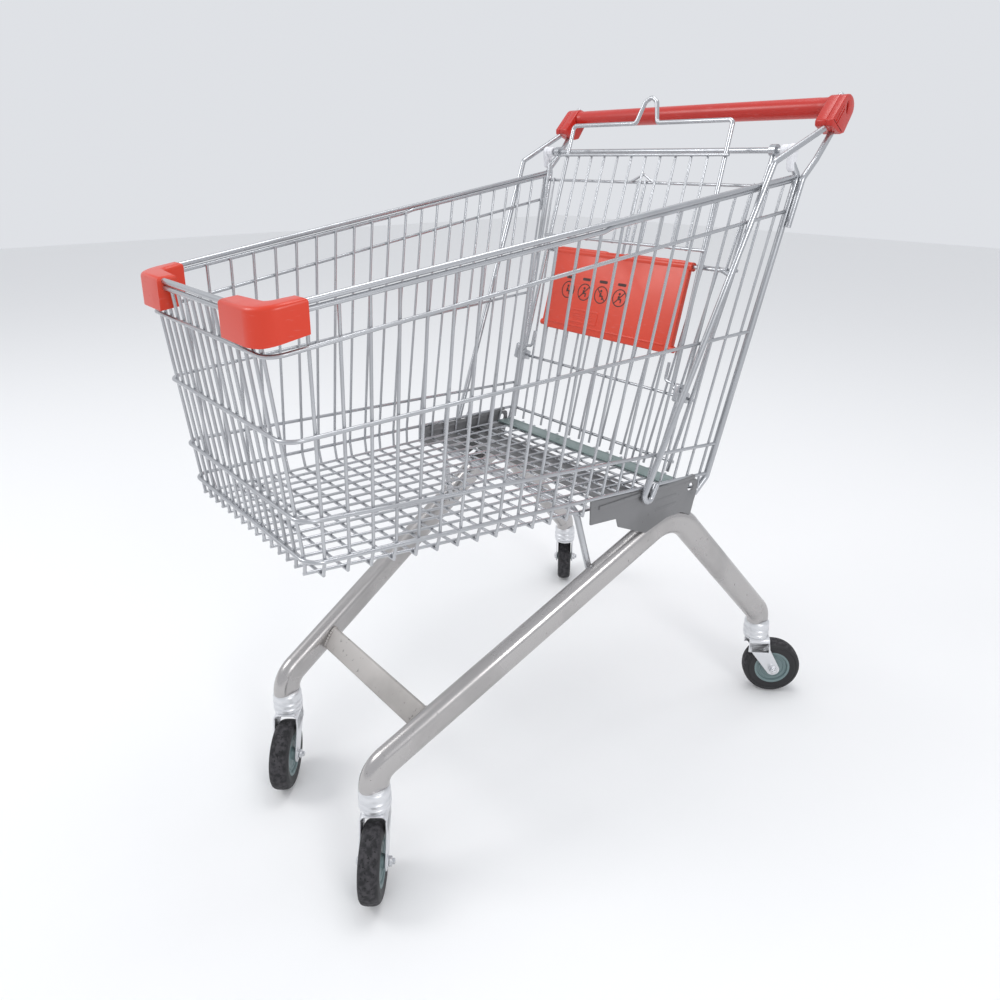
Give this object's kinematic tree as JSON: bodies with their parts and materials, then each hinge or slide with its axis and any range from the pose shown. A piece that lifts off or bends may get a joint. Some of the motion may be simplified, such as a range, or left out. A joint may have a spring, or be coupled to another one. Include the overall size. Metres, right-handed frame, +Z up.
{
  "type": "shopping cart",
  "caption": "Supermarket shopping cart: wire basket on bent tube legs with swivel casters, red handle and corner bumpers, and a swinging rear gate that carries a folding child seat",
  "frame": {"origin": "on the floor, at the middle of the cart's length and width", "axes": "+Z up, -Y towards the nose of the basket, +Y towards the handle, +X towards the left caster pair as the nodes are named"},
  "size_m": [0.616, 0.9136, 1.0282],
  "materials": {
    "zinc_wire": "bright zinc plate, smooth and reflective",
    "silver_tube": "silver paint, satin, slightly scuffed",
    "warm_grey_bar": "warm grey paint, worn",
    "dark_plate": "dark grey, matt",
    "teal_strip": "grey-green, satin",
    "orange_bumper": "moulded orange-red plastic",
    "red_handle": "moulded red plastic, semi-gloss",
    "inner_steel": "plated steel",
    "white_bearing": "white nylon",
    "red_board": "moulded light red plastic",
    "caster_zinc": "pressed steel, zinc plated",
    "bolt_steel": "plated bolt and nut",
    "hub_grey": "grey-green nylon",
    "tyre_black": "black rubber, scuffed tread"
  },
  "bodies": {
    "cart": {"basket_floor": "zinc_wire", "basket_front": "zinc_wire", "basket_side_left": "zinc_wire", "basket_side_right": "zinc_wire", "ring_wire_1": "zinc_wire", "ring_wire_2": "zinc_wire", "ring_wire_3": "zinc_wire", "ring_wire_4": "zinc_wire", "rim_wire_upper": "zinc_wire", "rim_wire_lower": "zinc_wire", "rear_post_left": "zinc_wire", "rear_post_right": "zinc_wire", "handle_strut_left": "zinc_wire", "handle_strut_right": "zinc_wire", "handle_stay_left": "zinc_wire", "handle_stay_right": "zinc_wire", "hinge_rod": "zinc_wire", "brace_rod": "zinc_wire", "chassis_tube_left": "silver_tube", "chassis_tube_right": "silver_tube", "headset_cups": "silver_tube", "front_cross_bar": "warm_grey_bar", "side_plate_left": "dark_plate", "side_plate_right": "dark_plate", "rear_cross_channel": "dark_plate", "threshold_strip": "teal_strip", "corner_bumper_left": "orange_bumper", "corner_bumper_right": "orange_bumper", "handle_grip": "red_handle", "handle_bracket_left": "red_handle", "handle_bracket_right": "red_handle", "handle_core": "inner_steel", "bracket_screws": "inner_steel", "hinge_bearing_left": "white_bearing", "hinge_bearing_right": "white_bearing"},
    "gate": {"gate_frame": "zinc_wire", "gate_wires": "zinc_wire", "board_pivot_rod": "zinc_wire", "seat_clips": "dark_plate"},
    "seat_back": {"seat_frame": "zinc_wire", "seat_wires": "zinc_wire"},
    "seat_board": {"seat_board": "red_board"},
    "front_left_swivel": {"front_left_fork": "caster_zinc", "front_left_axle": "bolt_steel"},
    "front_left_wheel": {"front_left_hub": "hub_grey", "front_left_tyre": "tyre_black"},
    "front_right_swivel": {"front_right_fork": "caster_zinc", "front_right_axle": "bolt_steel"},
    "front_right_wheel": {"front_right_hub": "hub_grey", "front_right_tyre": "tyre_black"},
    "rear_left_swivel": {"rear_left_fork": "caster_zinc", "rear_left_axle": "bolt_steel"},
    "rear_left_wheel": {"rear_left_hub": "hub_grey", "rear_left_tyre": "tyre_black"},
    "rear_right_swivel": {"rear_right_fork": "caster_zinc", "rear_right_axle": "bolt_steel"},
    "rear_right_wheel": {"rear_right_hub": "hub_grey", "rear_right_tyre": "tyre_black"}
  },
  "joints": [
    {"name": "front_left_turn", "type": "hinge", "parent": "cart", "child": "front_left_swivel", "pos_m": [0.127, -0.33321, 0.13], "axis": [0, 0, 1], "continuous": true},
    {"name": "front_left_roll", "type": "hinge", "parent": "front_left_swivel", "child": "front_left_wheel", "pos_m": [0.15115, -0.3542, 0.05], "axis": [-0.6561, -0.7547, 0], "continuous": true},
    {"name": "front_right_turn", "type": "hinge", "parent": "cart", "child": "front_right_swivel", "pos_m": [-0.127, -0.33321, 0.13], "axis": [0, 0, 1], "continuous": true},
    {"name": "front_right_roll", "type": "hinge", "parent": "front_right_swivel", "child": "front_right_wheel", "pos_m": [-0.10285, -0.3542, 0.05], "axis": [-0.6561, -0.7547, 0], "continuous": true},
    {"name": "rear_left_turn", "type": "hinge", "parent": "cart", "child": "rear_left_swivel", "pos_m": [0.243, 0.39179, 0.13], "axis": [0, 0, 1], "continuous": true},
    {"name": "rear_left_roll", "type": "hinge", "parent": "rear_left_swivel", "child": "rear_left_wheel", "pos_m": [0.26563, 0.41442, 0.05], "axis": [0.7071, -0.7071, 0], "continuous": true},
    {"name": "rear_right_turn", "type": "hinge", "parent": "cart", "child": "rear_right_swivel", "pos_m": [-0.243, 0.39179, 0.13], "axis": [0, 0, 1], "continuous": true},
    {"name": "rear_right_roll", "type": "hinge", "parent": "rear_right_swivel", "child": "rear_right_wheel", "pos_m": [-0.26563, 0.41442, 0.05], "axis": [0.7071, 0.7071, 0], "continuous": true},
    {"name": "gate_swing", "type": "hinge", "parent": "cart", "child": "gate", "pos_m": [0, 0.32979, 0.942], "axis": [-1, 0, 0], "range_deg": [0, 65]},
    {"name": "seat_tilt", "type": "hinge", "parent": "gate", "child": "seat_back", "pos_m": [0, 0.19702, 0.594], "axis": [1, 0, 0], "range_deg": [0, 40]},
    {"name": "board_swing", "type": "hinge", "parent": "gate", "child": "seat_board", "pos_m": [0, 0.25756, 0.77121], "axis": [-1, 0, 0], "range_deg": [0, 75]}
  ],
  "couplings": [
    {"joint": "board_swing", "follows": "seat_tilt", "ratio": 1.85}
  ]
}
